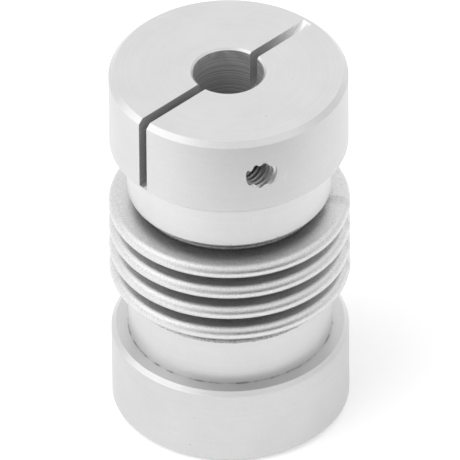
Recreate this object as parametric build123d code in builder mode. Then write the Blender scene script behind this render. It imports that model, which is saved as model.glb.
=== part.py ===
"""Clamp-hub bellows coupling, all lengths in millimetres.

Two equal aluminium clamp hubs face each other across a thin steel bellows. Each hub is a turned
flange with a narrower neck. A saw cut splits the flange through the bore, and one cap screw across
the cut closes the bore on a shaft. The bellows' plain cuffs are bonded into sockets in the necks.

Frame: +Z up along the shaft axis, with the origin at the centre of the lower end face. The upper
hub's saw cut lies in the XZ plane, and its deep end is on the -X side.
"""
from build123d import *
import math
import os

# ---------------------------------------------------------------- clamp hub
hub_diameter = 32.0
flange_height = 11.9
neck_diameter = 27.4
neck_length = 6.9
bore_diameter = 9.525  # three-eighths of an inch

end_chamfer = 0.7  # flange rim at the end face
rim_chamfer = 0.6  # flange rim on the neck's side
bore_chamfer = 0.3  # the bore's edge at the end face

# ---------------------------------------------------------------- saw cut
slit_width = 1.4
slit_web = 0.95  # metal left in the flange under the deepest point of the cut
slit_margin = 0.5  # the cut runs out this far inside the end face's far edge
saw_diameter = 100.0
tooth_bevel = 0.7  # on one corner of the saw's teeth, the -Y one in the upper hub

# ---------------------------------------------------------------- clamp screw
screw_diameter = 4.0
screw_length = 16.0  # under the head
head_diameter = 7.0
head_height = 4.0
head_chamfer = 0.4
hex_across_flats = 3.0
hex_depth = 2.0
tip_chamfer = 0.5

screw_rise = 0.25  # the screw's axis above the flange's middle
screw_to_bore = 0.54  # wall between the bore and the screw's clearance hole
head_sink = 0.15  # the head's outer corner below the hub's turned surface
shank_clearance = 0.25  # radial, in the unthreaded ear
head_clearance = 0.25  # radial, in the counterbore
thread_clearance = 0.05  # radial, between the screw and the tapped ear

# ---------------------------------------------------------------- bellows
convolutions = 4
pitch = 3.49
crest_overhang = 0.2  # radial, the crests outside the hubs' turned surface
cuff_diameter = 24.4  # outside of the cuffs and of the roots between the crests
wall = 0.2
bellows_gap = 16.8  # between the two neck ends

socket_depth = 3.5
bond_gap = 0.05  # radial, between a cuff and its socket
cuff_end_gap = 0.1  # between a cuff's end and the socket's floor

# ---------------------------------------------------------------- assembly
lower_hub_turn = 201.0  # degrees from the upper hub's cut to the lower hub's, seen from above

hub_radius = hub_diameter / 2
bellows_diameter = hub_diameter + 2 * crest_overhang
hub_height = flange_height + neck_length
overall_length = 2 * hub_height + bellows_gap
socket_diameter = cuff_diameter + 2 * bond_gap
shank_hole = screw_diameter + 2 * shank_clearance
tapped_hole = screw_diameter + 2 * thread_clearance
counterbore = head_diameter + 2 * head_clearance

# The screw's place in the hub's own frame, where z = 0 is the end face and the hub hangs below it.
screw_x = -(bore_diameter / 2 + screw_to_bore + shank_hole / 2)
screw_z = -(flange_height / 2 - screw_rise)
head_corner = abs(screw_x) + head_diameter / 2
seat_y = math.sqrt(hub_radius**2 - head_corner**2) - head_sink - head_height


def saw_disc():
    """The slitting saw in the hub's own frame: its lowest point leaves slit_web of the flange, and
    the rising floor comes out at the end face just inside its far edge."""
    saw_radius = saw_diameter / 2
    slit_depth = flange_height - slit_web
    half_chord = math.sqrt(saw_radius**2 - (saw_radius - slit_depth) ** 2)
    saw_x = hub_radius - end_chamfer - slit_margin - half_chord
    with BuildPart() as saw:
        with BuildSketch(Plane.XZ):
            with Locations((saw_x, saw_radius - slit_depth)):
                Circle(saw_radius)
        extrude(amount=slit_width / 2, both=True)
        bevelled_rim = saw.edges().sort_by(Axis.Y)[0]
        chamfer(bevelled_rim, length=tooth_bevel)
    return saw.part


def clamp_hub():
    """One hub with its end face at z = 0, the cut in the XZ plane and the screw along Y."""
    with BuildPart() as hub:
        # Turned body: the flange, then the neck below it.
        with BuildSketch(Plane.XY.offset(-flange_height)):
            Circle(hub_radius)
        extrude(amount=flange_height)
        end_edges = hub.faces().sort_by(Axis.Z)[-1].edges()
        chamfer(end_edges, length=end_chamfer)
        rim_edges = hub.faces().sort_by(Axis.Z)[0].edges()
        chamfer(rim_edges, length=rim_chamfer)
        with BuildSketch(Plane.XY.offset(-flange_height)):
            Circle(neck_diameter / 2)
        extrude(amount=-neck_length)

        # Socket for the bellows' cuff, bored into the neck's end.
        with BuildSketch(Plane.XY.offset(-hub_height)):
            Circle(socket_diameter / 2)
        extrude(amount=socket_depth, mode=Mode.SUBTRACT)

        # Shaft bore, right through, with its outer edge broken.
        Hole(bore_diameter / 2)
        bore_edge = hub.faces().sort_by(Axis.Z)[-1].inner_wires()[0].edges()
        chamfer(bore_edge, length=bore_chamfer)

        # Saw cut, with the saw at the end of its stroke.
        add(saw_disc(), mode=Mode.SUBTRACT)

        # Screw hole across the cut: tapped on the -Y side, clear and counterbored on the +Y side.
        with BuildSketch(Plane.XZ):
            with Locations((screw_x, screw_z)):
                Circle(tapped_hole / 2)
        extrude(amount=hub_radius, mode=Mode.SUBTRACT)
        with BuildSketch(Plane.XZ):
            with Locations((screw_x, screw_z)):
                Circle(shank_hole / 2)
        extrude(amount=-hub_radius, mode=Mode.SUBTRACT)
        with BuildSketch(Plane.XZ.offset(-seat_y)):
            with Locations((screw_x, screw_z)):
                Circle(counterbore / 2)
        extrude(amount=-hub_radius, mode=Mode.SUBTRACT)
    return hub.part


def clamp_screw():
    """One socket cap screw in the hub's own frame, its head seated in the counterbore."""
    with BuildPart() as screw:
        # The head stands on its seat towards +Y, and the shank runs towards -Y.
        with BuildSketch(Plane.XZ.offset(-seat_y)):
            with Locations((screw_x, screw_z)):
                Circle(head_diameter / 2)
        extrude(amount=-head_height)
        head_edges = screw.faces().sort_by(Axis.Y)[-1].edges()
        chamfer(head_edges, length=head_chamfer)
        with BuildSketch(Plane.XZ.offset(-seat_y)):
            with Locations((screw_x, screw_z)):
                Circle(screw_diameter / 2)
        extrude(amount=screw_length)
        tip_edges = screw.faces().sort_by(Axis.Y)[0].edges()
        chamfer(tip_edges, length=tip_chamfer)
        # Hexagon socket for the key.
        with BuildSketch(Plane.XZ.offset(-seat_y - head_height)):
            with Locations((screw_x, screw_z)):
                RegularPolygon(hex_across_flats / 2, 6, major_radius=False)
        extrude(amount=hex_depth, mode=Mode.SUBTRACT)
    return screw.part


upper_place = Location((0, 0, overall_length))
lower_place = Location((0, 0, 0), (0, 0, lower_hub_turn)) * Location((0, 0, 0), (180, 0, 0))

hub_part = clamp_hub()
screw_part = clamp_screw()

with BuildPart() as upper_hub:
    with Locations(upper_place):
        add(hub_part)

with BuildPart() as lower_hub:
    with Locations(lower_place):
        add(hub_part)

with BuildPart() as upper_clamp_screw:
    with Locations(upper_place):
        add(screw_part)

with BuildPart() as lower_clamp_screw:
    with Locations(lower_place):
        add(screw_part)

# ---------------------------------------------------------------- bellows
# U-shaped convolutions: flat flanks joined by tight turns at the crests and the roots. A turn of
# a quarter of the pitch is drawn as half an octagon round its circle, so that the wall keeps one
# thickness and every turn needs only three faces. Half of such a turn joins each cuff.
turn_radius = pitch / 4
root_x = cuff_diameter / 2 - wall / 2 + turn_radius
crest_x = bellows_diameter / 2 - wall / 2 - turn_radius
middle_z = overall_length / 2
first_root_z = middle_z - convolutions / 2 * pitch
cuff_reach = bellows_gap / 2 + socket_depth - cuff_end_gap


def octagon_corners(centre_x, centre_z, radius, angles):
    """Corners, at the given angles in degrees, of the octagon that touches a circle."""
    corner_radius = radius / math.cos(math.radians(22.5))
    corners = []
    for angle in angles:
        x = centre_x + corner_radius * math.cos(math.radians(angle))
        z = centre_z + corner_radius * math.sin(math.radians(angle))
        corners.append((x, z))
    return corners


def wall_face(side):
    """Corners of one face of the wall, going up. side is +1 for the outside, -1 for the inside."""
    crest_radius = turn_radius + side * wall / 2
    root_radius = turn_radius - side * wall / 2
    cuff_x = root_x - root_radius
    corners = [(cuff_x, middle_z - cuff_reach)]
    for index in range(convolutions + 1):
        root_z = first_root_z + index * pitch
        angles = [247.5, 202.5, 157.5, 112.5]
        if index == 0:
            angles = angles[2:]
        if index == convolutions:
            angles = angles[:2]
        corners += octagon_corners(root_x, root_z, root_radius, angles)
        if index < convolutions:
            crest_z = root_z + pitch / 2
            corners += octagon_corners(crest_x, crest_z, crest_radius, [-67.5, -22.5, 22.5, 67.5])
    corners.append((cuff_x, middle_z + cuff_reach))
    return corners


with BuildPart() as bellows:
    with BuildSketch(Plane.XZ):
        with BuildLine():
            Polyline(*wall_face(+1), *reversed(wall_face(-1)), close=True)
        make_face()
    revolve(axis=Axis.Z)

# ---------------------------------------------------------------- export
upper_hub.part.label = "upper_hub"
lower_hub.part.label = "lower_hub"
upper_clamp_screw.part.label = "upper_clamp_screw"
lower_clamp_screw.part.label = "lower_clamp_screw"
bellows.part.label = "bellows"

os.makedirs("parts", exist_ok=True)
for piece in (upper_hub, lower_hub, upper_clamp_screw, lower_clamp_screw, bellows):
    export_step(piece.part, f"parts/{piece.part.label}.step")
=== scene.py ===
# %% [markdown]
# # A clamp-hub bellows coupling
# Two turned aluminium hubs face each other across a thin steel bellows. The CAD frame already holds
# their exact shapes, so this lesson adds what a drawing leaves out: the formed bellows, the cut
# threads, the cap screws' knurling, and the marks that the lathe, the saw and handling leave.

# %% Load the frame
import math
from functools import partial

import bmesh
import bpy
from mathutils import Matrix, Vector


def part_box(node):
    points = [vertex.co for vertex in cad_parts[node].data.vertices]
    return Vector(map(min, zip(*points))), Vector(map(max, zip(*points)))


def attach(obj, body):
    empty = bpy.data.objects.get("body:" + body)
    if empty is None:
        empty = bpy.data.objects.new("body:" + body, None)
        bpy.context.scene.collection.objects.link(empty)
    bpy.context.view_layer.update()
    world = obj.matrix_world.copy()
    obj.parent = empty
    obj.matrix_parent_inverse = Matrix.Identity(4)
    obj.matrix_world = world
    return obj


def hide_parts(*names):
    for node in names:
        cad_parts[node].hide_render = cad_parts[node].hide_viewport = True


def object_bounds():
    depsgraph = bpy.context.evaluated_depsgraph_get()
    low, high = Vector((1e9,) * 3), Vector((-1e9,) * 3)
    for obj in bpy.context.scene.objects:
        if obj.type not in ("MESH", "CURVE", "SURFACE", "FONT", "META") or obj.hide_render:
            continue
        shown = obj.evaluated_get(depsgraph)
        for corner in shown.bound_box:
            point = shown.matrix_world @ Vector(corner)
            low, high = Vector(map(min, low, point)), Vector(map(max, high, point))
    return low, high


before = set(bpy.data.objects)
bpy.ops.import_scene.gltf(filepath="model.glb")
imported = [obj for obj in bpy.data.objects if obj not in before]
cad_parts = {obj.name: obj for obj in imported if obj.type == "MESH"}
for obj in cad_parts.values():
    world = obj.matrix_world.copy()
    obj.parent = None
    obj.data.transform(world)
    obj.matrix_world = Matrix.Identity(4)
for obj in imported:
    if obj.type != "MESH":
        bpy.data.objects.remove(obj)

cad_low, cad_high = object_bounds()
print("CAD box in mm:", [round(v * 1000, 2) for v in (*cad_low, *cad_high)])

# %% [markdown]
# ## Sizes
# Every place comes from the frame's own boxes. The few numbers that a box can't give, such as the
# saw's radius or the thread's pitch, repeat the drawing's values here.

# %% Sizes
MM = 0.001

hub_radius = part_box("upper_hub")[1].x
overall_height = cad_high.z
middle_height = overall_height / 2
flange_height = 11.9 * MM
neck_radius = 13.7 * MM
bore_radius = 4.7625 * MM
end_chamfer = 0.7 * MM
slit_width = 1.4 * MM
slit_web = 0.95 * MM
slit_margin = 0.5 * MM
saw_radius = 50 * MM
lower_hub_turn = math.radians(201)

# The saw's centre, in the hub's own frame: z = 0 is the end face, and the hub hangs below it.
saw_rise = saw_radius - (flange_height - slit_web)
saw_x = hub_radius - end_chamfer - slit_margin - math.sqrt(saw_radius**2 - saw_rise**2)
print("hub radius", round(hub_radius / MM, 2), "overall height", round(overall_height / MM, 2))

# %% [markdown]
# ## Camera
# A long lens stands well back, which keeps the upright sides nearly parallel.

# %% Camera
def put(name, data):
    """A new object of the given data, in the scene."""
    item = bpy.data.objects.new(name, data)
    bpy.context.scene.collection.objects.link(item)
    return item


view_azimuth = math.radians(-44.3)
view_elevation = math.radians(38.477)
view_roll = math.radians(-0.442)
camera_distance = 2.6
sensor_width = 36.0
lens_length = 1518.68
aim_right_mm, aim_up_mm = 0.055, 0.077  # the aim lies a hair off the coupling's middle

look = Vector((
    -math.sin(view_azimuth) * math.cos(view_elevation),
    math.cos(view_azimuth) * math.cos(view_elevation),
    -math.sin(view_elevation),
))
level_right = Vector((math.cos(view_azimuth), math.sin(view_azimuth), 0))
level_up = level_right.cross(look)
camera_right = level_right * math.cos(view_roll) + level_up * math.sin(view_roll)
camera_up = level_up * math.cos(view_roll) - level_right * math.sin(view_roll)
aim = Vector((0, 0, middle_height)) + level_right * aim_right_mm * MM
aim = aim + Vector((0, 0, aim_up_mm * MM))

camera_data = bpy.data.cameras.new("studio_camera")
camera_data.sensor_width = sensor_width
camera_data.lens = lens_length
camera_data.clip_start = 0.1
camera_data.clip_end = 20.0
camera = put("studio_camera", camera_data)
turned = Matrix((camera_right, camera_up, -look)).transposed().to_4x4()
camera.matrix_world = Matrix.Translation(aim - look * camera_distance) @ turned
bpy.context.scene.camera = camera
print("lens", round(camera_data.lens), "mm at", camera_distance, "m")

# %% [markdown]
# ## Node helpers
# Materials and Geometry Nodes trees are both graphs of nodes. A few short helpers add a node with
# its settings and feed its inputs, so that each graph below reads as a list of steps.

# %% Node helpers
def feed(tree, socket, value):
    """Gives a socket a plain value, or links another node's output to it."""
    if isinstance(value, bpy.types.NodeSocket):
        tree.links.new(value, socket)
    else:
        socket.default_value = value


def feed_all(tree, node, inputs):
    """Feeds a node's inputs, given by name or number."""
    for socket, value in dict(inputs).items():
        feed(tree, node.inputs[socket], value)


def add_node(tree, kind, inputs=(), **settings):
    """Adds a node, with its settings and its inputs."""
    node = tree.nodes.new(kind)
    for name, value in settings.items():
        setattr(node, name, value)
    feed_all(tree, node, inputs)
    return node


def calc(tree, operation, *values):
    """One sum on a Math node, which shader and geometry trees share."""
    return add_node(tree, "ShaderNodeMath", enumerate(values), operation=operation).outputs[0]


def times(tree, *factors):
    """Two values multiplied."""
    return calc(tree, "MULTIPLY", *factors)


def blend(tree, share, start, end):
    """start where share is 0, and end where it is 1."""
    inputs = {"Factor": share, "A": start, "B": end}
    return add_node(tree, "ShaderNodeMix", inputs, data_type="FLOAT").outputs["Result"]


def ramp(tree, value, from_low, from_high, to_low, to_high):
    """Carries a value smoothly from one range to another, held at both ends."""
    node = add_node(tree, "ShaderNodeMapRange", interpolation_type="SMOOTHSTEP")
    for socket, given in zip(node.inputs, (value, from_low, from_high, to_low, to_high)):
        feed(tree, socket, given)
    return node.outputs["Result"]


def noise(tree, place, scale, detail=2.0, roughness=0.5, dimensions="3D"):
    """Smooth noise from 0 to 1, by place, or by one number when it is 1D."""
    inputs = {"Scale": scale, "Detail": detail, "Roughness": roughness}
    inputs["W" if dimensions == "1D" else "Vector"] = place
    return add_node(tree, "ShaderNodeTexNoise", inputs, noise_dimensions=dimensions).outputs[0]


print("ready: sums, blends, ramps and noise")


# %% Vector helpers
def vector_calc(tree, operation, *vectors):
    """One Vector Math node, and its sockets."""
    return add_node(tree, "ShaderNodeVectorMath", enumerate(vectors), operation=operation).outputs


def split(tree, vector):
    """A vector's three numbers."""
    return add_node(tree, "ShaderNodeSeparateXYZ", {0: vector}).outputs


def combine(tree, **parts):
    """A vector from its numbers X, Y and Z."""
    return add_node(tree, "ShaderNodeCombineXYZ", parts).outputs[0]


def slant(tree, across, up):
    """The length of the slanted side over two square ones."""
    squares = [times(tree, side, side) for side in (across, up)]
    return calc(tree, "SQRT", calc(tree, "ADD", *squares))


def from_axis(tree, vector):
    """The distance from the Z axis."""
    parts = split(tree, vector)
    flat = combine(tree, X=parts["X"], Y=parts["Y"])
    return vector_calc(tree, "LENGTH", flat)["Value"]


def along(tree, vector, direction):
    """How far a vector reaches in a direction."""
    return vector_calc(tree, "DOT_PRODUCT", vector, direction)["Value"]


def geo(tree, step, inputs=(), **settings):
    """The first output of one step of Geometry Nodes."""
    return add_node(tree, "GeometryNode" + step, inputs, **settings).outputs[0]


print("ready: places, distances and geometry steps")


# %% Group helpers
def node_group(kind, inputs):
    """Turns the function below it into a Shader or Geometry group of the same name.

    Each input has a default or a kind of socket. The function gives the outputs by name.
    """
    made = "NodeSocketFloat" if kind == "Shader" else "NodeSocketGeometry"

    def build(fill):
        group = bpy.data.node_groups.new(fill.__name__, kind + "NodeTree")
        add_socket = group.interface.new_socket
        for name, given in inputs.items():
            word = {float: "Float", int: "Int"}.get(type(given), given)
            socket = add_socket(name, in_out="INPUT", socket_type="NodeSocket" + word)
            if word != given:
                socket.default_value = given
        results = fill(group, group.nodes.new("NodeGroupInput").outputs)
        for name in results:
            add_socket(name, in_out="OUTPUT", socket_type=made)
        leave = group.nodes.new("NodeGroupOutput").inputs
        for name, value in results.items():
            feed(group, leave[name], value)
        print("group:", group.name, "of", len(group.nodes), "nodes")
        return group

    return build


def place_effect(tree, group, inputs):
    """Places a node group in a tree of its own kind, feeds its inputs and gives its outputs."""
    kind = tree.bl_idname.replace("Tree", "Group")
    return add_node(tree, kind, inputs, node_tree=group).outputs


print("ready: node groups")

# %% [markdown]
# ## Tool marks, a shared effect
# A lathe's tool leaves fine rings: concentric on an end face and stacked along a cylinder. One
# number serves both. It is the distance from the axis where the surface faces along the axis, and
# the height elsewhere. Noise along that number alone makes the rings. Every pattern in this file
# works in millimetres, so its settings read as real sizes.

# %% Tool marks group
@node_group("Shader", {"Place": "Vector", "Facing": "Vector", "Lines per mm": 5.0})
def tool_marks(tree, entry):
    steep = calc(tree, "ABSOLUTE", split(tree, entry["Facing"])["Z"])
    is_end_face = calc(tree, "GREATER_THAN", steep, 0.8)
    height = split(tree, entry["Place"])["Z"]
    way = blend(tree, is_end_face, height, from_axis(tree, entry["Place"]))
    # A slow waver keeps the rings from looking printed.
    waver = noise(tree, entry["Place"], 0.15, detail=1.0)
    way = calc(tree, "MULTIPLY_ADD", waver, 0.12, way)
    counted = times(tree, way, entry["Lines per mm"])
    fine = noise(tree, counted, 1.0, detail=2.0, roughness=0.6, dimensions="1D")
    broad = noise(tree, counted, 0.25, detail=2.0, roughness=0.7, dimensions="1D")
    return {"Fine Lines": fine, "Broad Lines": broad}


# %% [markdown]
# ## Handling marks, a shared effect
# Parts that lie in a bin pick up dark pits, short hairlines and cloudy smudges. The pits are the
# middles of some Voronoi cells. A hairline is where a slow noise crosses its middle value, kept
# only where a second noise is high, so that it is short.

# %% Handling marks group
@node_group("Shader", {"Place": "Vector", "Pit Spacing": 1.6, "Pit Size": 0.09})
def handling_marks(tree, entry):
    per_spacing = calc(tree, "DIVIDE", 1.0, entry["Pit Spacing"])
    inputs = {"Vector": entry["Place"], "Scale": per_spacing}
    cells = add_node(tree, "ShaderNodeTexVoronoi", inputs).outputs
    luck = split(tree, cells["Color"])["X"]
    reach = times(tree, entry["Pit Size"], ramp(tree, luck, 0.72, 1.0, 0.0, 1.0))
    distance = times(tree, cells["Distance"], entry["Pit Spacing"])
    inner = times(tree, reach, 0.5)
    pits = ramp(tree, distance, inner, calc(tree, "ADD", reach, 0.0001), 1.0, 0.0)

    drift = noise(tree, entry["Place"], 0.22, detail=0.0)
    off_middle = calc(tree, "ABSOLUTE", calc(tree, "SUBTRACT", drift, 0.5))
    thread_thin = ramp(tree, off_middle, 0.0012, 0.003, 1.0, 0.0)
    shifted = vector_calc(tree, "ADD", entry["Place"], (31, 17, 5))[0]
    kept = ramp(tree, noise(tree, shifted, 0.4, detail=0.0), 0.6, 0.66, 0.0, 1.0)
    hairlines = times(tree, thread_thin, kept)
    smudges = noise(tree, shifted, 0.18, detail=4.0, roughness=0.6)
    return {"Pits": pits, "Hairlines": hairlines, "Smudges": smudges}


# %% [markdown]
# ## Ring bands, a shared effect
# Wear and broken edges on a turned part follow circles round its axis: a rim, a bore's mouth, and
# so does painted shade in a corner. This group gives a soft band round one such circle, broken up
# by noise. Each material chooses whether the band brightens a worn rim or darkens a corner as
# painted shade.

# %% Ring band group
@node_group("Shader", {
    "Place": "Vector",
    "Ring Radius": 16.0,
    "Ring Height": 0.0,
    "Width": 0.4,
    "Broken": 0.5,
})
def ring_band(tree, entry):
    out = calc(tree, "SUBTRACT", from_axis(tree, entry["Place"]), entry["Ring Radius"])
    up = calc(tree, "SUBTRACT", split(tree, entry["Place"])["Z"], entry["Ring Height"])
    distance = slant(tree, out, up)
    inner = times(tree, entry["Width"], 0.6)
    band = ramp(tree, distance, inner, entry["Width"], 1.0, 0.0)
    patches = ramp(tree, noise(tree, entry["Place"], 0.9, detail=3.0), 0.4, 0.6, 0.0, 1.0)
    kept = blend(tree, entry["Broken"], 1.0, patches)
    return {"Band": times(tree, band, kept)}


def band_round(tree, place, radius, height, width, broken):
    """The band round one circle. All but the share that is broken up are in millimetres."""
    inputs = {"Place": place, "Ring Radius": radius, "Ring Height": height}
    return place_effect(tree, ring_band, {**inputs, "Width": width, "Broken": broken})["Band"]


# %% Laying marks on a value
def swing(tree, value, pattern, amount):
    """The value, swung up and down by a pattern that runs from 0 to 1."""
    return calc(tree, "MULTIPLY_ADD", calc(tree, "SUBTRACT", pattern, 0.5), amount, value)


def lift(tree, value, pattern, amount):
    """The value, and an amount more where the pattern is 1."""
    return calc(tree, "MULTIPLY_ADD", pattern, amount, value)


def darken(tree, value, pattern, amount):
    """The value, less a share of itself where the pattern is 1."""
    return times(tree, value, lift(tree, 1.0, pattern, -amount))


print("ready: swing, lift and darken")

# %% [markdown]
# ## Hub aluminium
# The hubs are turned and sawn from bar, tumbled, and left plain. A material in each hub's own frame
# follows the tools: rings on the turned faces, arcs about the saw's centre in the cut, coarser
# lines and stains in the drilled bore, bright rims, and painted shade in the corner under the
# flange. It also paints light: the end faces and the neck a little lighter than the flange's side,
# and a pale pool in the cut where it runs out by the end face. The lower hub is the same part
# upside down, so both hubs share one finish group; the Mapping node in front of it differs, and the
# lower hub's tone is turned down a little as painted shade.

# %% Hub zones
bore_mm, neck_mm, rim_mm = bore_radius / MM, neck_radius / MM, hub_radius / MM
flange_mm, saw_mm = flange_height / MM, saw_radius / MM


def find_zones(tree, place, facing):
    """What tells the hub's surfaces apart, in its own frame: z = 0 is the end face."""
    sum_of = partial(calc, tree)
    axes = split(tree, place)
    steep = sum_of("ABSOLUTE", split(tree, facing)["Z"])
    saw_out = sum_of("SUBTRACT", axes["X"], saw_x / MM)
    saw_up = sum_of("SUBTRACT", axes["Z"], saw_rise / MM)
    from_saw = slant(tree, saw_out, saw_up)
    beside_cut = sum_of("SUBTRACT", sum_of("ABSOLUTE", axes["Y"]), slit_width / 2 / MM)
    in_cut = ramp(tree, beside_cut, 0.01, 0.02, 1.0, 0.0)
    swept_by_saw = ramp(tree, from_saw, saw_mm + 0.02, saw_mm + 0.04, 1.0, 0.0)
    radius = from_axis(tree, place)
    return {
        "height": axes["Z"],
        "from saw": from_saw,
        "near end": ramp(tree, axes["Z"], -4.5, -1.5, 0.0, 1.0),
        "end face": ramp(tree, steep, 0.9, 0.99, 0.0, 1.0),
        "neck": ramp(tree, axes["Z"], -flange_mm - 0.02, -flange_mm, 1.0, 0.0),
        "bore": ramp(tree, radius, bore_mm + 0.01, bore_mm + 0.05, 1.0, 0.0),
        "sawn": times(tree, in_cut, swept_by_saw),
    }


print("saw's centre in mm:", round(saw_x / MM, 2), round(saw_rise / MM, 2))


# %% Hub marks
def find_marks(tree, place, facing, zones):
    """The patterns that the tools, wear and handling leave, and painted shade in the corner under
    the flange, each about 0 to 1.
    """
    rings = place_effect(tree, tool_marks, {"Place": place, "Facing": facing})
    handled = place_effect(tree, handling_marks, {"Place": place})
    one_way = {"dimensions": "1D"}
    saw_lines = noise(tree, zones["from saw"], 5.0, detail=2.0, roughness=0.6, **one_way)
    bore_lines = noise(tree, zones["height"], 5.5, detail=3.0, roughness=0.65, **one_way)
    end_rim = band_round(tree, place, rim_mm - 0.35, -0.35, 0.62, 0.1)
    neck_rim = band_round(tree, place, rim_mm - 0.3, -flange_mm + 0.3, 0.55, 0.1)
    bore_rim = band_round(tree, place, bore_mm + 0.15, -0.15, 0.32, 0.2)
    outer_rims = calc(tree, "MAXIMUM", end_rim, neck_rim)
    return {
        "broad lines": rings["Broad Lines"],
        "fine lines": blend(tree, zones["sawn"], rings["Fine Lines"], saw_lines),
        "saw lines": saw_lines,
        "bore lines": bore_lines,
        "grain": noise(tree, place, 6.0, detail=3.0, roughness=0.7),
        "worn": calc(tree, "MAXIMUM", outer_rims, bore_rim),
        # painted shade: a broken dark band in the inner corner under the flange
        "painted corner shade": band_round(tree, place, neck_mm, -flange_mm, 0.2, 0.9),
        "pits": handled["Pits"],
        "hairlines": handled["Hairlines"],
        "smudges": handled["Smudges"],
    }


print("bore, neck and rim in mm:", round(bore_mm, 3), round(neck_mm, 2), round(rim_mm, 2))


# %% Tones of the hub's surfaces
def turned_tone(tree, zones, marks):
    """Painted light: a little lighter on the end faces and the neck than on the flange's side.
    Duller where hands have been.
    """
    off_end = calc(tree, "SUBTRACT", 1.0, zones["end face"])
    # Painted light: the end faces and the neck get lighter tones than the flange's side.
    tone = blend(tree, zones["end face"], 0.655, 0.72)
    tone = blend(tree, times(tree, zones["neck"], off_end), tone, 0.70)
    swings = {"broad lines": 0.025, "fine lines": 0.04, "grain": 0.10, "smudges": 0.10}
    for mark, amount in swings.items():
        tone = swing(tree, tone, marks[mark], amount)
    tone = lift(tree, tone, marks["hairlines"], 0.04)
    return lift(tree, tone, marks["worn"], 0.05)


def bore_tone(tree, place, zones, marks):
    """Coarse lines of the drill, stained near the mouth."""
    cloud = noise(tree, place, 0.55, detail=4.0, roughness=0.65)
    stains = ramp(tree, cloud, 0.48, 0.60, 0.0, 1.0)
    near_mouth = ramp(tree, zones["height"], -3.0, -0.6, 0.1, 1.0)
    left_clean = blend(tree, times(tree, stains, near_mouth), 1.0, 0.8)
    return times(tree, ramp(tree, marks["bore lines"], 0.35, 0.65, 0.40, 0.74), left_clean)


def sawn_tone(tree, zones, marks):
    """The saw's arcs, with painted light on the walls near the cut's floor by the end face, and a
    paler painted pool of light on that floor where the cut runs out.
    """
    near_floor = ramp(tree, zones["from saw"], saw_mm - 5.0, saw_mm - 1.0, 0.0, 1.0)
    on_floor = ramp(tree, zones["from saw"], saw_mm - 0.3, saw_mm - 0.05, 0.0, 1.0)
    # Painted light: the walls are lighter near the cut's floor by the end face, where light comes
    # in.
    painted_light_at_run_out = blend(tree, times(tree, near_floor, zones["near end"]), 0.46, 0.70)
    tone = calc(tree, "ADD", ramp(tree, marks["saw lines"], 0.35, 0.65, 0.0, 0.10), painted_light_at_run_out)
    # Painted light: the cut's floor by the end face is painted pale.
    return blend(tree, times(tree, on_floor, zones["near end"]), tone, 0.9)


print("ready: tones of turned, drilled and sawn metal")


# %% Hub finish group
@node_group("Shader", {"Place": "Vector", "Facing": "Vector", "Brightness": 1.0})
def hub_finish(tree, entry):
    place = entry["Place"]
    zones = find_zones(tree, place, entry["Facing"])
    marks = find_marks(tree, place, entry["Facing"], zones)

    tone = turned_tone(tree, zones, marks)
    tone = blend(tree, zones["bore"], tone, bore_tone(tree, place, zones, marks))
    tone = blend(tree, zones["sawn"], tone, sawn_tone(tree, zones, marks))
    # Painted shade: the inner corner under the flange is darkened, in broken patches.
    painted_corner_shade = times(tree, marks["painted corner shade"], 0.35)
    dark = calc(tree, "MAXIMUM", times(tree, marks["pits"], 0.7), painted_corner_shade)
    tone = times(tree, tone, calc(tree, "SUBTRACT", 1.0, dark))

    # A torn surface is rougher, and scatters light as a matt one does.
    inside = calc(tree, "MAXIMUM", zones["bore"], zones["sawn"])
    rough = lift(tree, swing(tree, 0.40, marks["smudges"], 0.12), marks["worn"], -0.06)

    height = times(tree, marks["fine lines"], 0.2)
    height = lift(tree, height, marks["grain"], 0.3)
    lines_in_bore = times(tree, marks["bore lines"], zones["bore"])
    height = lift(tree, height, lines_in_bore, 2.0)
    height = lift(tree, height, marks["pits"], -1.5)
    height = lift(tree, height, marks["hairlines"], -0.25)
    return {
        "Tone": times(tree, tone, entry["Brightness"]),
        "Roughness": blend(tree, inside, rough, 0.55),
        "Metallic": lift(tree, 1.0, inside, -0.35),
        "Height": height,
    }


# %% Hub materials
def principled(name):
    """A new material, its tree and its Principled shader."""
    material = bpy.data.materials.new(name)
    material.use_nodes = True
    return material, material.node_tree, material.node_tree.nodes["Principled BSDF"]


def own_place(tree, turn=(0, 0, 0), shift=(0, 0, 0)):
    """Object coordinates in millimetres, in a piece's own frame: turned first, then shifted."""
    where = add_node(tree, "ShaderNodeTexCoord").outputs["Object"]
    to_mm = (1 / MM, 1 / MM, 1 / MM)
    inputs = {"Vector": where, "Rotation": turn, "Location": shift, "Scale": to_mm}
    return add_node(tree, "ShaderNodeMapping", inputs).outputs[0]


def facing_of(tree):
    """The direction that the surface faces."""
    return add_node(tree, "ShaderNodeNewGeometry").outputs["True Normal"]


def feed_metal(tree, shader, tone, roughness, metallic, height, relief):
    """Feeds a neutral metal's shader. relief is how high a height of 1 stands, in metres."""
    colour = add_node(tree, "ShaderNodeCombineColor", {"Red": tone, "Green": tone, "Blue": tone})
    bump = add_node(tree, "ShaderNodeBump", {"Height": height, "Distance": relief})
    inputs = {"Base Color": colour.outputs[0], "Normal": bump.outputs[0]}
    feed_all(tree, shader, {**inputs, "Roughness": roughness, "Metallic": metallic})


def make_hub_aluminium(name, turn, shift, brightness):
    material, tree, shader = principled(name)
    inputs = {"Place": own_place(tree, turn, shift), "Facing": facing_of(tree)}
    finish = place_effect(tree, hub_finish, {**inputs, "Brightness": brightness})
    looks = [finish[name] for name in ("Tone", "Roughness", "Metallic", "Height")]
    feed_metal(tree, shader, *looks, 0.004 * MM)
    return material


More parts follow.
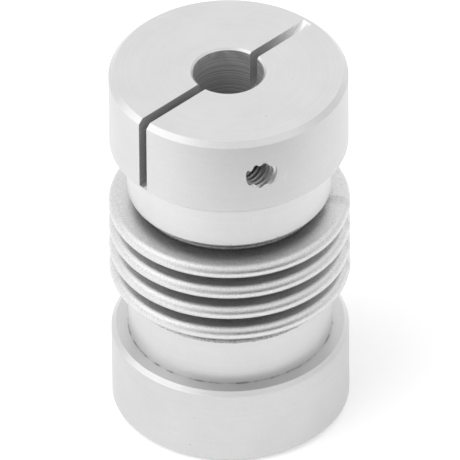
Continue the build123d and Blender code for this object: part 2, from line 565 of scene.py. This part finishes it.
upper_turn, upper_shift = (0, 0, 0), (0, 0, -overall_height / MM)
lower_turn, lower_shift = (math.pi, 0, lower_hub_turn), (0, 0, 0)
hub_materials = {
    "upper": make_hub_aluminium("upper_hub_aluminium", upper_turn, upper_shift, 1.0),
    # Painted shade: the lower hub's copy of the finish is toned down to 0.94 of the upper's.
    "lower": make_hub_aluminium("lower_hub_aluminium", lower_turn, lower_shift, 0.94),
}
for side, material in hub_materials.items():
    hub_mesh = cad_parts[side + "_hub"].data
    hub_mesh.materials.clear()
    hub_mesh.materials.append(material)
print("materials:", [material.name for material in hub_materials.values()])

# %% [markdown]
# ## Turning by Geometry Nodes
# The bellows and the screws are turned shapes. One node group sweeps any section, an open line of
# points in the XZ plane, round the Z axis: a grid takes its columns from the section's points and
# its rows from the steps round. Two attributes of a point change the sweep. hexness draws its
# circle out into a hexagon, and knurl cuts teeth into it.

# %% Sweep group
weld_distance = 0.0005 * MM  # points nearer than this are one


def grid_steps(tree, rows):
    """Each point's column and row in a grid that counts up its rows first."""
    index = geo(tree, "InputIndex")
    shifted = calc(tree, "ADD", index, 0.5)
    column = calc(tree, "FLOOR", calc(tree, "DIVIDE", shifted, rows))
    return column, calc(tree, "SUBTRACT", index, times(tree, column, rows))


def wrapped(tree, grid, place):
    """A grid carried to its place, with the points that meet there joined."""
    skin = geo(tree, "SetPosition", {"Geometry": grid, "Position": place})
    return geo(tree, "MergeByDistance", {"Geometry": skin, "Distance": weld_distance})


@node_group("Geometry", {
    "Section": "Geometry",
    "Steps Around": 240,
    "Knurl Teeth": 40,
    "Knurl Depth": 0.03,
})
def turned_sweep(tree, entry):
    sum_of = partial(calc, tree)
    inputs = {"Geometry": entry["Section"]}
    stations = geo(tree, "AttributeDomainSize", inputs, component="MESH")
    rows = sum_of("ADD", entry["Steps Around"], 1.0)
    grid = geo(tree, "MeshGrid", {"Vertices X": stations, "Vertices Y": rows})
    column, row = grid_steps(tree, rows)
    angle = times(tree, sum_of("DIVIDE", row, entry["Steps Around"]), 2 * math.pi)

    def at_station(value, data_type):
        inputs = {"Geometry": entry["Section"], "Value": value, "Index": column}
        return geo(tree, "SampleIndex", inputs, data_type=data_type, domain="POINT")

    def station_share(name):
        named = geo(tree, "InputNamedAttribute", {"Name": name}, data_type="FLOAT")
        return at_station(named, "FLOAT")

    point = at_station(geo(tree, "InputPosition"), "FLOAT_VECTOR")
    sixth = math.pi / 3
    from_flat = sum_of("WRAP", angle, sixth / 2, -sixth / 2)
    hexagon = sum_of("DIVIDE", 1.0, sum_of("COSINE", from_flat))
    swell = blend(tree, station_share("hexness"), 1.0, hexagon)
    tooth_turn = times(tree, angle, entry["Knurl Teeth"])
    tooth = sum_of("MULTIPLY_ADD", sum_of("COSINE", tooth_turn), 0.5, 0.5)
    deep = times(tree, tooth, entry["Knurl Depth"])
    cut = times(tree, deep, station_share("knurl"))
    swell = sum_of("SUBTRACT", swell, cut)
    grown = combine(tree, X=swell, Y=swell, Z=1.0)
    point = vector_calc(tree, "MULTIPLY", point, grown)[0]
    inputs = {"Vector": point, "Axis": (0, 0, 1), "Angle": angle}
    turning = add_node(tree, "ShaderNodeVectorRotate", inputs, rotation_type="AXIS_ANGLE")
    return {"Geometry": wrapped(tree, grid, turning.outputs[0])}


# %% Growing a piece from a tree
def dress(tree, geometry, entry):
    """Ends a tree: real geometry with its material."""
    real = geo(tree, "RealizeInstances", {0: geometry})
    inputs = {"Geometry": real, "Material": entry["Material"]}
    return {"Geometry": geo(tree, "SetMaterial", inputs)}


def grow(name, tree, values, section=None):
    """Runs a tree with the given inputs and gives its result as a plain mesh, faces outwards."""
    seed = put(name + "_seed", section or bpy.data.meshes.new(name + "_seed"))
    modifier = seed.modifiers.new("grow", "NODES")
    modifier.node_group = tree
    for item in tree.interface.items_tree:
        if item.item_type == "SOCKET" and item.in_out == "INPUT" and item.name in values:
            modifier[item.identifier] = values[item.name]
    bpy.context.view_layer.update()
    evaluated = seed.evaluated_get(bpy.context.evaluated_depsgraph_get())
    mesh = bpy.data.meshes.new_from_object(evaluated)
    seed.modifiers.remove(modifier)
    bpy.data.objects.remove(seed)
    mesh.name = name
    shape = bmesh.new()
    shape.from_mesh(mesh)
    bmesh.ops.recalc_face_normals(shape, faces=shape.faces)
    shape.to_mesh(mesh)
    shape.free()
    return mesh


def add_piece(name, mesh, place=Matrix.Identity(4)):
    """Puts a mesh in the scene as a piece of the coupling, its place in its mesh."""
    mesh.transform(place)
    piece = put(name, mesh)
    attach(piece, "root")
    print(name, "has", len(mesh.polygons), "faces")
    return piece


# %% [markdown]
# ## Bellows
# The real bellows is one thin tube, pressed out into rounded lobes with tight roots between them.
# Its section follows a rule, a wave with leaning flanks: four corners a lobe, two at the crest and
# two at the roots. Fillet Curve rounds them, wide at the crests and tight at the roots, and the
# sweep turns the line into a skin. Solidify then gives it its wall.

# %% Bellows tree
@node_group("Geometry", {
    "Lobes": 4,
    "Pitch": 3.49 * MM,
    "Root Radius": 12.1 * MM,
    "Crest Radius": 16.1 * MM,
    "Crest Half Width": 0.8 * MM,
    "Root Half Width": 1.0 * MM,
    "Crest Rounding": 0.8 * MM,
    "Root Rounding": 0.6 * MM,
    "Middle Height": 27.2 * MM,
    "Cuff Reach": 11.8 * MM,
    "Steps Around": 240,
    "Material": "Material",
})
def formed_bellows(tree, entry):
    sum_of = partial(calc, tree)
    # Four corners make a lobe. A cuff's end comes before the first and after the last.
    count = sum_of("MULTIPLY_ADD", entry["Lobes"], 4.0, 2.0)
    points = geo(tree, "MeshLine", {"Count": count}, mode="OFFSET")
    index = geo(tree, "InputIndex")
    from_first = sum_of("SUBTRACT", index, 1.0)
    lobe = sum_of("FLOOR", sum_of("DIVIDE", from_first, 4.0))
    corner = sum_of("SUBTRACT", from_first, times(tree, lobe, 4.0))
    is_start = sum_of("LESS_THAN", index, 0.5)
    is_finish = sum_of("GREATER_THAN", index, sum_of("SUBTRACT", count, 1.5))
    is_cuff = sum_of("MAXIMUM", is_start, is_finish)
    is_crest = sum_of("COMPARE", corner, 1.5, 0.6)
    is_crest = times(tree, is_crest, sum_of("SUBTRACT", 1.0, is_cuff))
    side = sum_of("SIGN", sum_of("SUBTRACT", corner, 1.5))

    half_width = blend(tree, is_crest, entry["Root Half Width"], entry["Crest Half Width"])
    lobe_from_middle = sum_of("SUBTRACT", lobe, sum_of("MULTIPLY_ADD", entry["Lobes"], 0.5, -0.5))
    height = times(tree, lobe_from_middle, entry["Pitch"])
    height = sum_of("MULTIPLY_ADD", side, half_width, height)
    cuff_side = sum_of("SUBTRACT", is_finish, is_start)
    height = blend(tree, is_cuff, height, times(tree, cuff_side, entry["Cuff Reach"]))
    height = sum_of("ADD", height, entry["Middle Height"])
    radius = blend(tree, is_crest, entry["Root Radius"], entry["Crest Radius"])
    place = combine(tree, X=radius, Z=height)
    section = geo(tree, "SetPosition", {"Geometry": points, "Position": place})
    outline = geo(tree, "MeshToCurve", {"Mesh": section})
    rounding = blend(tree, is_crest, entry["Root Rounding"], entry["Crest Rounding"])
    inputs = {"Curve": outline, "Radius": rounding, "Limit Radius": True, "Count": 12}
    line = geo(tree, "CurveToMesh", {"Curve": geo(tree, "FilletCurve", inputs, mode="POLY")})
    inputs = {"Section": line, "Steps Around": entry["Steps Around"]}
    skin = place_effect(tree, turned_sweep, inputs)["Geometry"]
    return dress(tree, skin, entry)


# %% [markdown]
# ## Bellows steel
# Forming and annealing leave the steel with a fine grain that sparkles at the crests. The roots are
# painted darker, as painted shade in the hollows between the lobes, and the tube's lengthwise weld
# shows as a faint rough band. The painted shade follows the distance from the axis.

# %% Bellows material
weld_angle = math.radians(-50.6)


def find_weld(tree, place, coarse):
    """The weld's band, its two edge lines and the ripples in it."""
    across = (-math.sin(weld_angle), math.cos(weld_angle), 0)
    outwards = (math.cos(weld_angle), math.sin(weld_angle), 0)
    wandering = swing(tree, along(tree, place, across), coarse, 0.5)
    from_weld = calc(tree, "ABSOLUTE", wandering)
    this_side = calc(tree, "GREATER_THAN", along(tree, place, outwards), 0.0)
    band = times(tree, ramp(tree, from_weld, 0.7, 0.95, 1.0, 0.0), this_side)
    from_edge = calc(tree, "ABSOLUTE", calc(tree, "SUBTRACT", from_weld, 0.85))
    edge = times(tree, ramp(tree, from_edge, 0.0, 0.2, 1.0, 0.0), this_side)
    ripples = noise(tree, wandering, 3.0, detail=1.0, dimensions="1D")
    return band, edge, times(tree, ripples, band)


def make_bellows_steel():
    material, tree, shader = principled("formed_steel")
    place = own_place(tree)
    radius = from_axis(tree, place)
    grain = noise(tree, place, 5.0, detail=2.0, roughness=0.7)
    coarse = noise(tree, place, 1.6, detail=2.0, roughness=0.6)
    inputs = {"Place": place, "Pit Spacing": 0.8, "Pit Size": 0.07}
    handled = place_effect(tree, handling_marks, inputs)
    inputs = {"Place": place, "Facing": facing_of(tree), "Lines per mm": 3.0}
    rolled = place_effect(tree, tool_marks, inputs)
    weld, weld_edge, ripples = find_weld(tree, place, coarse)

    # Painted shade: darker towards the roots, and darker still at the very bottom of each root.
    tone = blend(tree, ramp(tree, radius, 12.0, 14.8, 0.0, 1.0), 0.51, 0.70)
    tone = times(tree, tone, ramp(tree, radius, 12.35, 12.9, 0.5, 1.0))
    tone = swing(tree, tone, grain, 0.48)
    tone = swing(tree, tone, coarse, 0.08)
    tone = swing(tree, tone, rolled["Fine Lines"], 0.05)
    tone = darken(tree, tone, handled["Pits"], 0.6)
    tone = darken(tree, tone, weld, 0.03)
    tone = lift(tree, tone, weld_edge, 0.06)
    rough = lift(tree, lift(tree, 0.28, coarse, 0.12), weld, 0.1)
    feed_metal(tree, shader, tone, rough, 1.0, lift(tree, grain, ripples, 4.0), 0.04 * MM)
    return material


bellows_steel = make_bellows_steel()
print("material:", bellows_steel.name)

# %% Bellows piece
bellows_low, bellows_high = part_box("bellows")
bellows_wall = 0.2 * MM
bellows_pitch = 3.49 * MM
flank_lean = math.radians(6)
crest_round = 0.95 * MM
root_line = 12.1 * MM
crest_line = bellows_high.x - bellows_wall / 2
half_turn_tan = math.tan((math.pi / 2 - flank_lean) / 2)
crest_half = crest_round * half_turn_tan
root_half = crest_half + (crest_line - root_line) * math.tan(flank_lean)
bellows_mesh = grow("formed_bellows", formed_bellows, {
    "Lobes": 4,
    "Pitch": bellows_pitch,
    "Root Radius": root_line,
    "Crest Radius": crest_line,
    "Crest Half Width": crest_half,
    "Root Half Width": root_half,
    "Crest Rounding": crest_round,
    "Root Rounding": (bellows_pitch / 2 - root_half) / half_turn_tan,
    "Middle Height": (bellows_low.z + bellows_high.z) / 2,
    "Cuff Reach": (bellows_high.z - bellows_low.z) / 2,
    "Steps Around": 240,
    "Material": bellows_steel,
})
bellows_mesh.shade_smooth()
bellows = add_piece("formed_bellows", bellows_mesh)
thicken = bellows.modifiers.new("wall", "SOLIDIFY")
thicken.thickness = bellows_wall
thicken.offset = 0
thicken.use_even_offset = True
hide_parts("bellows")

# %% [markdown]
# ## Beads
# Where the bellows' cuff leaves a hub's neck, a narrow bead joins the two. It is a small circle
# swept round the axis, with a little noise that makes it ragged.

# %% Bead tree
@node_group("Geometry", {
    "Ring Radius": 13.3 * MM,
    "Bead Radius": 0.35 * MM,
    "Height": 0.0,
    "Raggedness": 0.1 * MM,
    "Seed": 3.0,
    "Material": "Material",
})
def cuff_bead(tree, entry):
    corners = 12
    line = geo(tree, "MeshLine", {"Count": corners + 1}, mode="OFFSET")
    index = geo(tree, "InputIndex")
    angle = times(tree, index, 2 * math.pi / corners)
    out, up = (
        calc(tree, "MULTIPLY_ADD", calc(tree, wave, angle), entry["Bead Radius"], middle)
        for wave, middle in (("COSINE", entry["Ring Radius"]), ("SINE", entry["Height"]))
    )
    place = combine(tree, X=out, Z=up)
    section = geo(tree, "SetPosition", {"Geometry": line, "Position": place})
    inputs = {"Section": section, "Steps Around": 360}
    ring = place_effect(tree, turned_sweep, inputs)["Geometry"]
    inputs = {
        "Vector": geo(tree, "InputPosition"),
        "W": entry["Seed"],
        "Scale": 0.9 / MM,
        "Detail": 2.0,
    }
    lumps = add_node(tree, "ShaderNodeTexNoise", inputs, noise_dimensions="4D").outputs[0]
    shift = times(tree, calc(tree, "SUBTRACT", lumps, 0.5), entry["Raggedness"])
    normal = geo(tree, "InputNormal")
    inputs = {0: normal, "Scale": shift}
    offset = add_node(tree, "ShaderNodeVectorMath", inputs, operation="SCALE").outputs[0]
    ragged = geo(tree, "SetPosition", {"Geometry": ring, "Offset": offset})
    return dress(tree, ragged, entry)


# %% Beads
def make_bead_steel():
    material, tree, shader = principled("bead_steel")
    place = own_place(tree)
    grain = noise(tree, place, 3.0, detail=3.0, roughness=0.7)
    handled = place_effect(tree, handling_marks, {"Place": place})
    tone = ramp(tree, grain, 0.3, 0.7, 0.36, 0.66)
    tone = darken(tree, tone, handled["Pits"], 0.5)
    feed_metal(tree, shader, tone, lift(tree, 0.3, grain, 0.3), 0.85, grain, 0.06 * MM)
    return material


bead_steel = make_bead_steel()
bead_radius = 0.36 * MM
neck_ends = {"upper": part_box("upper_hub")[0].z, "lower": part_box("lower_hub")[1].z}
for (side, height), seed in zip(neck_ends.items(), (3.0, 8.0)):
    bead_mesh = grow(side + "_bead", cuff_bead, {
        "Ring Radius": neck_radius - bead_radius,
        "Bead Radius": bead_radius,
        "Height": height,
        "Raggedness": 0.12 * MM,
        "Seed": seed,
        "Material": bead_steel,
    })
    bead_mesh.shade_smooth()
    add_piece(side + "_bead", bead_mesh)

# %% [markdown]
# ## Threads
# A thread is one ridge wound along a helix. A grid five points wide is wrapped into the ridge's
# four-sided section, and its rows climb the helix. The ridge swells from nothing over half a turn
# at each end, as a real thread's run-out does, and that closes the mesh too. The same group makes
# the screws' threads, with the crest outside, and the tapped holes' threads, with the crest inside.

# %% Thread group
@node_group("Geometry", {
    "Turns": 8.0,
    "Thread Pitch": 0.7 * MM,
    "Base Radius": 1.6 * MM,
    "Crest Radius": 2.0 * MM,
    "Base Width": 0.6 * MM,
    "Crest Width": 0.1 * MM,
    "Start Height": 0.0,
    "Steps per Turn": 48,
})
def thread_ridge(tree, entry):
    sum_of = partial(calc, tree)
    rows = sum_of("FLOOR", sum_of("MULTIPLY_ADD", entry["Turns"], entry["Steps per Turn"], 1.0))
    grid = geo(tree, "MeshGrid", {"Vertices X": 5, "Vertices Y": rows})
    column, row = grid_steps(tree, rows)
    corner = sum_of("FLOORED_MODULO", column, 4.0)
    is_crest = sum_of("COMPARE", corner, 1.5, 0.6)
    side = sum_of("SIGN", sum_of("SUBTRACT", corner, 1.5))

    to_end = sum_of("MINIMUM", row, sum_of("SUBTRACT", sum_of("SUBTRACT", rows, 1.0), row))
    half_turn = sum_of("DIVIDE", entry["Steps per Turn"], 2.0)
    fullness = sum_of("MINIMUM", sum_of("DIVIDE", to_end, half_turn), 1.0)
    full_crest = times(tree, is_crest, fullness)
    radius = blend(tree, full_crest, entry["Base Radius"], entry["Crest Radius"])
    width = blend(tree, is_crest, entry["Base Width"], entry["Crest Width"])
    half_width = times(tree, times(tree, width, 0.5), fullness)
    turns = sum_of("DIVIDE", row, entry["Steps per Turn"])
    height = sum_of("MULTIPLY_ADD", turns, entry["Thread Pitch"], entry["Start Height"])
    height = sum_of("MULTIPLY_ADD", side, half_width, height)
    angle = times(tree, turns, 2 * math.pi)
    out, over = (times(tree, radius, sum_of(wave, angle)) for wave in ("COSINE", "SINE"))
    place = combine(tree, X=out, Y=over, Z=height)
    return {"Geometry": wrapped(tree, grid, place)}


steps_per_turn = 48


def wind_ridge(tree, entry, sources, base_width, crest_width):
    """The ridge in a tree whose own inputs, named by sources, give its two radii and its start."""
    inputs = {name: entry[name] for name in ("Turns", "Thread Pitch")}
    for name, source in zip(("Base Radius", "Crest Radius", "Start Height"), sources):
        inputs[name] = entry[source]
    widths = {"Base Width": base_width, "Crest Width": crest_width}
    inputs.update(widths, **{"Steps per Turn": steps_per_turn})
    return place_effect(tree, thread_ridge, inputs)["Geometry"]


thread_pitch = 0.7 * MM
thread_start = 1.2 * MM
thread_inner = 1.62 * MM
screw_radius = 2.0 * MM
print("thread pitch in mm:", round(thread_pitch / MM, 2))

# %% [markdown]
# ## Places of the screws
# The screws and threads are made once in the screw's own frame: z = 0 is the seat under the head,
# and +Z runs down the shank. A matrix then carries them into each hub. The hub's frame is turned
# over for the lower one.

# %% Screw places
screw_low, screw_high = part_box("upper_clamp_screw")
head_height = 4.0 * MM
screw_length = screw_high.y - screw_low.y - head_height
screw_x = (screw_low.x + screw_high.x) / 2
screw_z = (screw_low.z + screw_high.z) / 2 - overall_height
seat_y = screw_high.y - head_height
in_hub = Matrix.Translation((screw_x, seat_y, screw_z)) @ Matrix.Rotation(math.pi / 2, 4, "X")
hub_places = {
    "upper": Matrix.Translation((0, 0, overall_height)),
    "lower": Matrix.Rotation(lower_hub_turn, 4, "Z") @ Matrix.Rotation(math.pi, 4, "X"),
}
print("screw length in mm:", round(screw_length / MM, 2), "seat y:", round(seat_y / MM, 3))


# %% [markdown]
# ## Tapped holes
# Past the screw's tip the hole shows its own thread. The ridge is wound out past the hub's turned
# surface, and a Mesh Boolean keeps what lies inside the hub, so that each crest ends flush with the
# surface and the mouth gets its ragged edge.

# %% Tapped thread tree
@node_group("Geometry", {
    "Turns": 11.0,
    "Thread Pitch": thread_pitch,
    "Wall Radius": 2.08 * MM,
    "Crest Radius": 1.66 * MM,
    "Start Height": 15.0 * MM,
    "Place In Hub": "Vector",
    "Hub Radius": 16.0 * MM,
    "Material": "Material",
})
def tapped_hole(tree, entry):
    sources = ("Wall Radius", "Crest Radius", "Start Height")
    ridge = wind_ridge(tree, entry, sources, 0.6 * MM, 0.12 * MM)
    # The group winds its faces for a crest outside, so they are turned round here.
    outwards = geo(tree, "FlipFaces", {"Mesh": ridge})
    inputs = {"Translation": entry["Place In Hub"], "Rotation": (math.pi / 2, 0, 0)}
    seated = geo(tree, "Transform", {"Geometry": outwards, **inputs})
    inputs = {"Vertices": 360, "Radius": entry["Hub Radius"], "Depth": 0.1}
    bar = geo(tree, "MeshCylinder", inputs)
    trimmed = add_node(tree, "GeometryNodeMeshBoolean", operation="INTERSECT", solver="EXACT")
    tree.links.new(seated, trimmed.inputs["Mesh 2"])
    tree.links.new(bar, trimmed.inputs["Mesh 2"])
    return dress(tree, trimmed.outputs["Mesh"], entry)


turns_to_tapped_ear = 20.5  # from the thread's start, in pitches
hub_skin = 0.015 * MM  # the crests end this far under the turned surface
for side, hub_place in hub_places.items():
    tapped_mesh = grow(side + "_tapped_thread", tapped_hole, {
        "Turns": 11.0,
        "Start Height": thread_start + turns_to_tapped_ear * thread_pitch,
        "Place In Hub": (screw_x, seat_y, screw_z),
        "Hub Radius": hub_radius - hub_skin,
        "Material": hub_materials[side],
    })
    add_piece(side + "_tapped_thread", tapped_mesh, hub_place)

# %% [markdown]
# ## Cap screws
# Each hub is closed by a socket head cap screw. Its section is drawn as a few points from
# the key's socket over the head to the tip, because it is a drawing, not a rule. The sweep turns
# it, with a hexagon at the socket and knurling on the head, and the thread group winds the thread.

# %% Cap screw tree
@node_group("Geometry", {
    "Section": "Geometry",
    "Turns": 20.0,
    "Thread Pitch": thread_pitch,
    "Inner Radius": thread_inner,
    "Outer Radius": screw_radius,
    "Thread Start": thread_start,
    "Knurl Teeth": 36,
    "Knurl Depth": 0.03,
    "Steps Around": 216,
    "Material": "Material",
})
def cap_screw(tree, entry):
    shared = ("Section", "Steps Around", "Knurl Teeth", "Knurl Depth")
    inputs = {name: entry[name] for name in shared}
    body = place_effect(tree, turned_sweep, inputs)["Geometry"]
    sources = ("Inner Radius", "Outer Radius", "Thread Start")
    thread = wind_ridge(tree, entry, sources, 0.62 * MM, 0.09 * MM)
    joined = add_node(tree, "GeometryNodeJoinGeometry")
    tree.links.new(body, joined.inputs[0])
    tree.links.new(thread, joined.inputs[0])
    return dress(tree, joined.outputs[0], entry)


# %% Cap screw section
def screw_section():
    """Points (radius, height, hexness, knurl) in mm, from the socket's bottom to the tip."""
    head, length, core = -head_height / MM, screw_length / MM, thread_inner / MM - 0.02
    points = [
        (0.0, head + 2.35, 0, 0), (1.5, head + 2.0, 1, 0), (1.5, head + 0.18, 1, 0),
        (1.82, head, 0, 0), (3.05, head, 0, 0), (3.36, head + 0.1, 0, 0),
        (3.47, head + 0.3, 0, 0), (3.5, head + 0.4, 0, 1), (3.5, -0.55, 0, 1),
        (3.47, -0.4, 0, 0), (3.42, -0.1, 0, 0), (3.32, 0.0, 0, 0), (2.15, 0.0, 0, 0),
        (2.0, 0.15, 0, 0), (1.98, 0.8, 0, 0), (core, 1.3, 0, 0),
        (core, length - 0.55, 0, 0), (core - 0.35, length, 0, 0), (0.0, length, 0, 0),
    ]
    mesh = bpy.data.meshes.new("screw_section")
    edges = [(i, i + 1) for i in range(len(points) - 1)]
    places = [(point[0] * MM, 0, point[1] * MM) for point in points]
    mesh.from_pydata(places, edges, [])
    for column, name in ((2, "hexness"), (3, "knurl")):
        shares = mesh.attributes.new(name, "FLOAT", "POINT")
        shares.data.foreach_set("value", [float(point[column]) for point in points])
    return mesh


# %% [markdown]
# ## Blackened steel
# Cap screws come with a thin black oxide. It wears through to bright steel at the head's rim, the
# socket's edge and the thread's crests, and keeps a trace of oil.

# %% Screw material
def make_screw_steel(name, to_own_frame):
    material, tree, shader = principled(name)
    turn = to_own_frame.to_euler("XYZ")
    place = own_place(tree, tuple(turn), tuple(to_own_frame.to_translation() / MM))
    handled = place_effect(tree, handling_marks, {"Place": place})
    inputs = {"Place": place, "Facing": facing_of(tree), "Lines per mm": 6.0}
    lathe = place_effect(tree, tool_marks, inputs)
    head = -head_height / MM
    # Worn rings as (radius, height, width): the head's rim, the socket's edge and the shank.
    rings = ((3.36, head + 0.1, 0.22), (1.8, head, 0.16), (2.0, 10.0, 6.0))
    bands = [band_round(tree, place, *ring, 0.8) for ring in rings]
    worn = calc(tree, "MAXIMUM", calc(tree, "MAXIMUM", bands[0], bands[1]), bands[2])
    crest = ramp(tree, from_axis(tree, place), 1.9, 1.99, 0.0, 1.0)
    grain = noise(tree, place, 9.0, detail=3.0, roughness=0.6)
    patches = ramp(tree, grain, 0.35, 0.6, 0.3, 1.0)
    worn = times(tree, worn, blend(tree, patches, 0.4, crest))
    oxide = lift(tree, lift(tree, 0.05, grain, 0.05), lathe["Fine Lines"], 0.02)
    tone = blend(tree, worn, oxide, 0.42)
    rough = lift(tree, 0.25, handled["Smudges"], 0.25)
    feed_metal(tree, shader, tone, rough, 1.0, grain, 0.006 * MM)
    return material


thread_stop = 0.4 * MM  # the thread ends this far before the tip
sharp_angle = math.radians(32)
screw_material = {}
for side, hub_place in hub_places.items():
    to_world = hub_place @ in_hub
    screw_material[side] = make_screw_steel(side + "_screw_steel", to_world.inverted())
    screw_mesh = grow(side + "_cap_screw", cap_screw, {
        "Turns": (screw_length - thread_stop - thread_start) / thread_pitch,
        "Material": screw_material[side],
    }, section=screw_section())
    screw_mesh.shade_smooth()
    screw_mesh.set_sharp_from_angle(angle=sharp_angle)
    screw = add_piece(side + "_cap_screw", screw_mesh, to_world)
    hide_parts(side + "_clamp_screw")

# %% [markdown]
# ## Floor, surround and lamps
# Metal has hardly any colour of its own: it shows its surroundings. So the studio is a white one
# all round, with a softbox on the left. A second one, higher up, is hidden from reflections and
# lights only what is matt. The floor is pale paper that keeps the coupling's own soft shadow.

# %% Seen rays
def directly_seen(tree):
    """1 for rays from the camera, off metal or through glass, and 0 for those that only light."""
    ray = add_node(tree, "ShaderNodeLightPath").outputs
    seen = calc(tree, "MAXIMUM", ray["Is Camera Ray"], ray["Is Glossy Ray"])
    return calc(tree, "MAXIMUM", seen, ray["Is Transmission Ray"])


white = (1, 1, 1, 1)
print("white:", white[:3])

# %% Floor
floor_half = 1.5
paper_grey = (0.8, 0.8, 0.8, 1)
paper_glow = 0.36
floor_mesh = bpy.data.meshes.new("floor")
floor_corners = [(-1, -1), (1, -1), (1, 1), (-1, 1)]
floor_mesh.from_pydata(
    [(x * floor_half, y * floor_half, 0) for x, y in floor_corners], [], [(0, 1, 2, 3)]
)
floor = put("floor", floor_mesh)

floor_paper, floor_tree, floor_shader = principled("pale_paper")
floor_glow = times(floor_tree, directly_seen(floor_tree), paper_glow)
feed_all(floor_tree, floor_shader, {
    "Base Color": paper_grey,
    "Roughness": 0.9,
    "Specular IOR Level": 0.1,
    "Emission Color": white,
    "Emission Strength": floor_glow,
})
floor_mesh.materials.append(floor_paper)
print("floor side in m:", 2 * floor_half)

# %% White surround
lighting_level, seen_level = 0.75, 1.0
bpy.context.scene.view_settings.view_transform = "Standard"
world = bpy.data.worlds.new("studio")
bpy.context.scene.world = world
world.use_nodes = True
world_back = world.node_tree.nodes["Background"]
surround = blend(world.node_tree, directly_seen(world.node_tree), lighting_level, seen_level)
feed_all(world.node_tree, world_back, {"Color": white, "Strength": surround})
print("surround:", world.name)


# %% Softboxes
def softbox(name, azimuth, elevation, distance, side, radiance):
    """A square lamp that faces the coupling's middle. Azimuth is from the camera's side."""
    lamp_data = bpy.data.lights.new(name, "AREA")
    lamp_data.shape = "SQUARE"
    lamp_data.size = side
    lamp_data.energy = radiance * math.pi * side**2
    lamp = put(name, lamp_data)
    turn, rise = view_azimuth + math.radians(azimuth), math.radians(elevation)
    flat = math.cos(rise)
    back = Vector((math.sin(turn) * flat, -math.cos(turn) * flat, math.sin(rise)))
    lamp.location = Vector((0, 0, middle_height)) + back * distance
    lamp.rotation_euler = back.to_track_quat("Z", "Y").to_euler()
    lamp.visible_camera = False
    return lamp


softbox("left_softbox", azimuth=-80, elevation=46, distance=0.7, side=0.7, radiance=0.5)
high_place = {"azimuth": -55, "elevation": 62, "distance": 0.8}
high_softbox = softbox("high_softbox", **high_place, side=0.6, radiance=1.9)
high_softbox.visible_glossy = False

# %% [markdown]
# Two screens, which only reflections see, stand for the dimmer sides of the studio. A wide dome
# hangs behind the camera and round to the right. A low card stands in front, just below the
# camera's view: it gives each crest its thin dark line and dulls the front of the hubs a little.

# %% Screens
camera_side = -Vector((look.x, look.y, 0)).normalized()
right_side = Vector((-camera_side.y, camera_side.x, 0))
camera_turn = math.atan2(camera_side.y, camera_side.x)
dome_radius, card_radius, card_height_mm = 1.2, 0.1, 55


def screen(name, turns, heights, place_at, glow_at):
    """A glowing sheet seen by reflections only: a grid in turn and height about the coupling."""
    points = [place_at(turn, height) for turn in turns for height in heights]
    rows = len(heights)
    faces = [
        (i * rows + j, (i + 1) * rows + j, (i + 1) * rows + j + 1, i * rows + j + 1)
        for i in range(len(turns) - 1)
        for j in range(rows - 1)
    ]
    mesh = bpy.data.meshes.new(name)
    mesh.from_pydata(points, [], faces)
    sheet = put(name, mesh)
    for kind in ("camera", "diffuse", "transmission", "volume_scatter", "shadow"):
        setattr(sheet, "visible_" + kind, False)
    paint, tree, shader = principled(name + "_paint")
    where = add_node(tree, "ShaderNodeTexCoord").outputs["Object"]
    outwards = vector_calc(tree, "NORMALIZE", where)[0]
    glow = {"Emission Color": white, "Emission Strength": glow_at(tree, outwards)}
    matt = {"Base Color": (0, 0, 0, 1), "Roughness": 1.0, "Specular IOR Level": 0.0}
    feed_all(tree, shader, {**matt, **glow})
    mesh.materials.append(paint)
    print(name, len(faces), "faces")


# %% Shapes and glows of the screens
def about_axis(reach, turn, height):
    around = camera_turn + math.radians(turn)
    return (reach * math.cos(around), reach * math.sin(around), height)


def on_dome(turn, tilt):
    rise = math.radians(tilt)
    return about_axis(dome_radius * math.cos(rise), turn, dome_radius * math.sin(rise))


def on_card(turn, height):
    return about_axis(card_radius, turn, height * MM)


def dome_glow(tree, outwards):
    off_camera = calc(tree, "ARCCOSINE", along(tree, outwards, camera_side))
    behind_camera = ramp(tree, off_camera, 0.0, math.radians(60), 0.42, 1.0)
    to_right = ramp(tree, along(tree, outwards, right_side), 0.7, 0.98, 1.0, 0.74)
    return times(tree, behind_camera, to_right)


def card_glow(tree, outwards):
    off_middle = calc(tree, "ARCCOSINE", along(tree, outwards, darkest_side))
    return ramp(tree, off_middle, math.radians(15), math.radians(70), 0.12, 0.9)


darkest_side = (camera_side + right_side * math.tan(math.radians(22))).normalized()
step = 5  # degrees between a screen's points
dome_turns, dome_tilts = range(-80, 161, step), range(0, 81, step)
screen("dim_dome", dome_turns, dome_tilts, on_dome, dome_glow)
screen("grey_card", range(-45, 101, step), (0, card_height_mm), on_card, card_glow)
